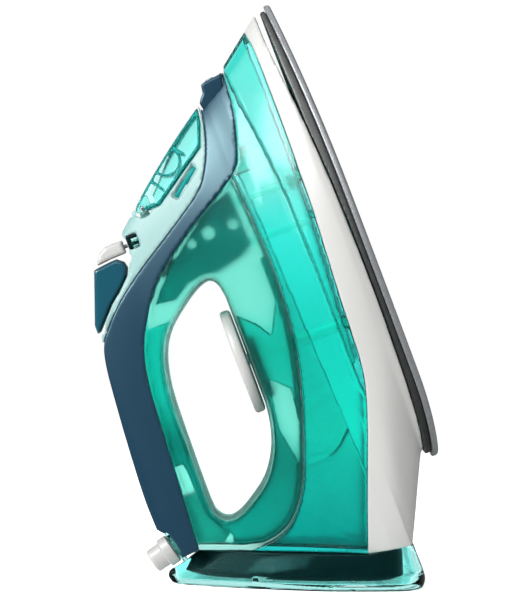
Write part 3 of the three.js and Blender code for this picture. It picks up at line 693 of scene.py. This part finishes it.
def by_level(nodes, links, place, shades):
    """A colour that changes with the height above the table.

    shades holds (metres, colour) from low to high.
    """
    parts = nodes.new("ShaderNodeSeparateXYZ")
    links.new(place, parts.inputs[0])
    level = nodes.new("ShaderNodeMapRange")
    level.inputs["From Max"].default_value = shades[-1][0]
    links.new(parts.outputs["Z"], level.inputs["Value"])
    ramp = nodes.new("ShaderNodeValToRGB")
    links.new(level.outputs["Result"], ramp.inputs["Fac"])
    stops = ramp.color_ramp.elements
    for k, (height, shade) in enumerate(shades):
        stop = stops[k] if k < len(stops) else stops.new(1)
        stop.position = height / shades[-1][0]
        stop.color = shade
    return ramp.outputs["Color"]


def material(name, colour, roughness, vary=0.06, patch=40.0, grain=900.0, bump=0.03, worn=0.05, **sockets):
    """A Principled material.

    Its colour drifts over patches, and its roughness and surface carry a fine grain. colour is one colour,
    or a list of (height in metres, colour) for a colour that changes with height. On the tank this is
    painted
    light: a painted highlight high up and painted shade low down. patch and grain are in features per metre.
    The other names are the shader's own sockets.
    """
    mat = bpy.data.materials.new(name)
    mat.use_nodes = True
    nodes, links = mat.node_tree.nodes, mat.node_tree.links
    shader = nodes["Principled BSDF"]
    for socket, value in sockets.items():
        shader.inputs[socket.replace("_", " ").title().replace("Ior", "IOR")].default_value = value
    place = nodes.new("ShaderNodeTexCoord").outputs["Object"]

    def noise(scale, detail):
        node = nodes.new("ShaderNodeTexNoise")
        node.inputs["Scale"].default_value = scale
        node.inputs["Detail"].default_value = detail
        links.new(place, node.inputs["Vector"])
        return node.outputs["Fac"]

    drift, fine = noise(patch, 3), noise(grain, 4)
    mix = nodes.new("ShaderNodeMix")
    mix.data_type = "RGBA"
    stops = [(0, colour)] if isinstance(colour, str) else colour
    for socket, gain in (("A", 1 - vary), ("B", 1 + vary)):
        shades = [(height, [min(c * gain, 1) for c in linear(code)[:3]] + [1]) for height, code in stops]
        mix.inputs[socket].default_value = shades[0][1]
        if len(shades) > 1:
            links.new(by_level(nodes, links, place, shades), mix.inputs[socket])
    links.new(drift, mix.inputs["Factor"])
    links.new(mix.outputs["Result"], shader.inputs["Base Color"])
    rough = nodes.new("ShaderNodeMapRange")
    rough.inputs["To Min"].default_value = max(roughness - worn, 0.01)
    rough.inputs["To Max"].default_value = roughness + worn
    links.new(fine, rough.inputs["Value"])
    links.new(rough.outputs["Result"], shader.inputs["Roughness"])
    relief = nodes.new("ShaderNodeBump")
    relief.inputs["Strength"].default_value = bump
    relief.inputs["Distance"].default_value = 0.0002
    links.new(fine, relief.inputs["Height"])
    links.new(relief.outputs["Normal"], shader.inputs["Normal"])
    return mat


TINT = (0.15, 0.7, 0.68, 1)  # of what the clear plastics mirror
CLEAR = {"transmission_weight": 1.0, "ior": 1.35, "specular_tint": TINT}
# The tank's colour by height is painted light. It is lighter from 0.185 to 0.24 m as a painted highlight,
# and darker towards the bottom as painted shade.
TANK_PAINTED_LIGHT = [(0.03, "#20ccc6"), (0.08, "#3aecde"), (0.13, "#3ceade"), (0.185, "#6cf6ee"),
               (0.215, "#98f0ea"), (0.24, "#8aeae4"), (0.28, "#78f0e8")]
LINER_SHADES = [(0.02, "#40ccca"), (0.075, "#34b8b4"), (0.1, "#60e8e2")]
LOOK = {
    "clear_teal": material("tank_plastic_painted_light", TANK_PAINTED_LIGHT, 0.14, 0.04, bump=0.005, worn=0.02,
                           transmission_weight=0.97, ior=1.32),
    "handle_teal": material("handle_plastic", "#b0f5ea", 0.3, 0.04, bump=0.01, **CLEAR),
    "liner_teal": material("liner_plastic", LINER_SHADES, 0.2, 0.04, bump=0.01, **CLEAR),
    # painted shade: the sheet above the fold in the tank's flank
    "fold_shade_teal": material("fold_shade_plastic", "#70ecea", 0.18, 0.04, bump=0.01, **CLEAR),
    "rib_teal": material("rib_plastic", "#35b5b2", 0.25, 0.05, bump=0.01, transmission_weight=0.7,
                         ior=1.2),
    "inner_teal": material("carrier_plastic", "#0b8583", 0.3, 0.1, bump=0.02, transmission_weight=0.4,
                           ior=1.35, specular_tint=TINT),
    "smoke_teal": material("inner_plastic", "#03161a", 0.5, 0.05, bump=0.02, specular_ior_level=0.1),
    "faint_teal": material("hose_plastic", "#9cf6ee", 0.3, 0.04, bump=0.01, transmission_weight=1.0,
                           ior=1.12, specular_tint=TINT),
    "milky_teal": material("cover_plastic", "#2fa49c", 0.5, 0.08, bump=0.02, specular_ior_level=0.1),
    "foot_clear": material("clear_foot_plastic", "#b0eeea", 0.05, 0.03, bump=0.005, worn=0.02,
                           transmission_weight=1.0, ior=1.25, specular_tint=(0.04, 0.16, 0.16, 1)),
    "door_teal": material("door_plastic", "#c0f8f4", 0.08, 0.05, bump=0.01, worn=0.03,
                          transmission_weight=1.0, ior=1.2, specular_tint=TINT),
    "pale_mint": material("pale_plastic", "#7da09e", 0.42, 0.04, bump=0.03, transmission_weight=0.1),
    "white_plastic": material("white_plastic", "#a5a5a3", 0.32, 0.02, bump=0.03),
    "soft_navy": material("soft_touch", "#04293f", 0.34, 0.08, grain=2600, bump=0.08, specular_ior_level=0.9,
                          specular_tint=(0.6, 0.93, 1, 1)),
    "gloss_navy": material("gloss_plastic", "#0c4251", 0.12, 0.06, bump=0.005, coat_weight=0.5),
    "coated_sole": material("sole_coating", "#86898b", 0.34, 0.22, 600, 2200, 0.12, metallic=0.5),
    "cast_sole": material("cast_metal", "#565857", 0.45, 0.2, 160, 1400, 0.35, metallic=0.8),
    "bare_steel": material("steel", "#b5b8ba", 0.28, 0.06, 200, 1800, 0.08, metallic=1.0),
    "heater": material("heater_sheath", "#7a5a45", 0.45, 0.15, 200, 1400, 0.2, metallic=0.9),
    "brass_part": material("brass", "#b8964c", 0.33, 0.1, 150, 1500, 0.08, metallic=1.0),
    "black_plastic": material("black_plastic", "#1c1f20", 0.45, 0.08, grain=1800, bump=0.1),
    "grey_plastic": material("grey_plastic", "#8b9396", 0.4, 0.05, bump=0.04),
}
SLOTS = {row["node"]: row["material_slot"] for row in frame["record"]["subparts"]}
# pieces that hardly show through the tank and the handle
HARDLY_SEEN = ("steam_hose", "valve_rod", "drip_valve", "dial_shaft", "filler_neck")
FINISH = {**SLOTS, **dict.fromkeys(HARDLY_SEEN, "faint_teal"), "terminal_cover": "milky_teal"}


def dress(obj, node):
    """Gives a new piece its node's finish and body, and shows it in place of the node."""
    obj.data.materials.append(LOOK[FINISH[node]])
    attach(obj, frame["nodes"][node]["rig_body"])
    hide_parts(node)


# ---------- turned pieces, upright millimetres ----------


def upright(x, y, z):
    return UPRIGHT @ Vector((x, y, z))


def temperature_dial():
    rim = DIAL_RADIUS
    profile = [(0, 0), (rim - 2, 0), (rim - 0.6, 0.5), (rim, 1.6), (rim, 4.4), (rim - 0.5, 5.3),
               (rim - 1.6, 5.7), (rim - 3.2, 5.5), (rim - 5, 5.2), (rim - 12, 4.8), (0, 4.6)]
    base = upright(*DIAL, DIAL_LOW)
    direction = UPRIGHT.to_3x3() @ Vector((0, 0, 1))
    dial = lathe("dial_disc", profile, base, direction)
    knurl(dial, base, direction, rim)
    return dial


def knurl(obj, base, direction, rim, ribs=48, depth=0.35):
    """Cuts shallow grip ribs into a turned rim, inwards only."""
    axis = Vector(direction).normalized()
    side = axis.orthogonal().normalized()
    across = axis.cross(side)
    centre = Vector(base) / 1000
    for v in obj.data.vertices:
        p = v.co - centre
        flat = p - axis * p.dot(axis)
        if flat.length > (rim - 1) / 1000:
            angle = math.atan2(flat.dot(across), flat.dot(side))
            v.co -= flat.normalized() * depth / 1000 * (0.5 - 0.5 * math.cos(ribs * angle))


def turned_on_bush(name, profile, distance):
    """A turned piece on the bush's axis, at a distance from its outer end."""
    x, z = along_bush(distance)
    return lathe(name, profile, (x, 0, z), (BUSH_WAY[0], 0, BUSH_WAY[1]))


def cord_bush():
    profile = [(4, 0), (5.7, 0), (6.5, 0.9), (6.5, 7.4), (8, 8), (8, 12.8), (7.2, 13.4), (5.4, 13.4),
               (5.4, 20), (4, 20), (4, 0)]
    return turned_on_bush("bush", profile, 0)


def cord_collar():
    profile = [(5.8, 0), (9.6, 0), (9.6, 2.4), (5.8, 2.4), (5.8, 0)]
    return turned_on_bush("collar", profile, 13.8)


# ---------- assembly ----------

MADE = {
    "soleplate": soleplate,
    "sole_casting": sole_casting,
    "skirt": skirt,
    "tank_lower": tank_lower,
    "tank_upper": tank_upper,
    "handle_body": handle_body,
    "handle_cover": handle_cover,
    "control_deck": control_deck,
    "filler_door": filler_door,
    "hinge_cap": hinge_cap,
    "spray_nozzle": spray_nozzle,
    "heel_rest": heel_rest,
    "rear_cover": rear_cover,
    "temperature_dial": temperature_dial,
    "cord_bush": cord_bush,
    "cord_collar": cord_collar,
    "steam_button": steam_button,
    "spray_button": spray_button,
}
for node, make in MADE.items():
    dress(make(), node)
EXTRA = [
    # maker, finish, body, slot
    (handle_liner, "liner_teal", "iron", "clear_teal"),
    # the sheet above the tank's fold is painted shade
    (fold_shade_sheet, "fold_shade_teal", "iron", "clear_teal"),
    (slot_floor, "inner_teal", "iron", "inner_teal"),
    (door_ribs, "rib_teal", "door_body", "inner_teal"),
]
for make, finish, body, slot in EXTRA:
    piece = make()
    piece.data.materials.append(LOOK[finish])
    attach(piece, body)
for node, obj in frame["nodes"].items():
    if node not in MADE:
        obj.data.materials.clear()
        obj.data.materials.append(LOOK[FINISH[node]])
        soften(obj, width=0.25)


# ---------- studio ----------


def area_light(name, place, target, size, watts):
    lamp = bpy.data.lights.new(name, "AREA")
    lamp.shape = "RECTANGLE"
    lamp.size, lamp.size_y = size
    lamp.energy = watts
    obj = bpy.data.objects.new(name, lamp)
    obj.location = place
    obj.rotation_euler = (Vector(target) - Vector(place)).to_track_quat("-Z", "Y").to_euler()
    bpy.context.scene.collection.objects.link(obj)


def studio():
    bm = bmesh.new()
    bmesh.ops.create_circle(bm, cap_ends=True, segments=128, radius=4)
    floor = new_object("floor", bm)
    paper = material("floor_paper", "#f4f4f3", 0.7, 0.01, 4, 400, 0.02, emission_color=(1, 1, 1, 1),
                     emission_strength=0.72)
    floor.data.materials.append(paper)
    floor.visible_glossy = False
    area_light("left_softbox", (-1.15, -0.45, 0.72), (0, 0, 0.2), (0.8, 1.1), 10)
    area_light("crown_softbox", (-0.95, -0.75, 0.85), (-0.03, 0, 0.23), (0.5, 0.6), 15)
    area_light("front_top_softbox", (-0.3, -1.2, 1.1), (0, 0, 0.18), (0.9, 0.9), 5)
    area_light("overhead_softbox", (0, 0, 1.3), (0, 0, 0), (1.0, 1.0), 3)
    area_light("right_softbox", (1.3, -0.6, 0.5), (0, 0, 0.15), (0.6, 1.0), 1.5)
    bpy.context.scene.world = surround()


def surround(mirrored=0.14, diffuse=0.4, seen=1.0):
    """A white backdrop, dimmer as a light and dimmer still in reflections, as in a dark studio."""
    world = bpy.data.worlds.new("studio")
    world.use_nodes = True
    nodes, links = world.node_tree.nodes, world.node_tree.links
    rays = nodes.new("ShaderNodeLightPath")
    total = None
    for ray, extra in (("Is Diffuse Ray", diffuse), ("Is Camera Ray", seen), ("Is Transmission Ray", seen)):
        step = nodes.new("ShaderNodeMath")
        step.operation = "MULTIPLY_ADD"
        step.inputs[1].default_value = extra - mirrored
        step.inputs[2].default_value = mirrored
        links.new(rays.outputs[ray], step.inputs[0])
        if total:
            links.new(total, step.inputs[2])
        total = step.outputs[0]
    links.new(total, nodes["Background"].inputs["Strength"])
    nodes["Background"].inputs["Color"].default_value = (1, 1, 1, 1)
    return world


def camera():
    distance, height, seen = 1.75, 0.1505, 0.318
    data = bpy.data.cameras.new("camera")
    data.lens = data.sensor_width * distance / seen
    cam = bpy.data.objects.new("camera", data)
    cam.location = (0, -distance, height)
    cam.rotation_euler = (math.pi / 2, 0, 0)
    bpy.context.scene.collection.objects.link(cam)
    bpy.context.scene.camera = cam


studio()
camera()
scene = bpy.context.scene
scene.view_settings.view_transform = "Standard"
scene.cycles.use_denoising = True
scene.cycles.max_bounces = 16
scene.cycles.transmission_bounces = 16
scene.cycles.transparent_max_bounces = 16
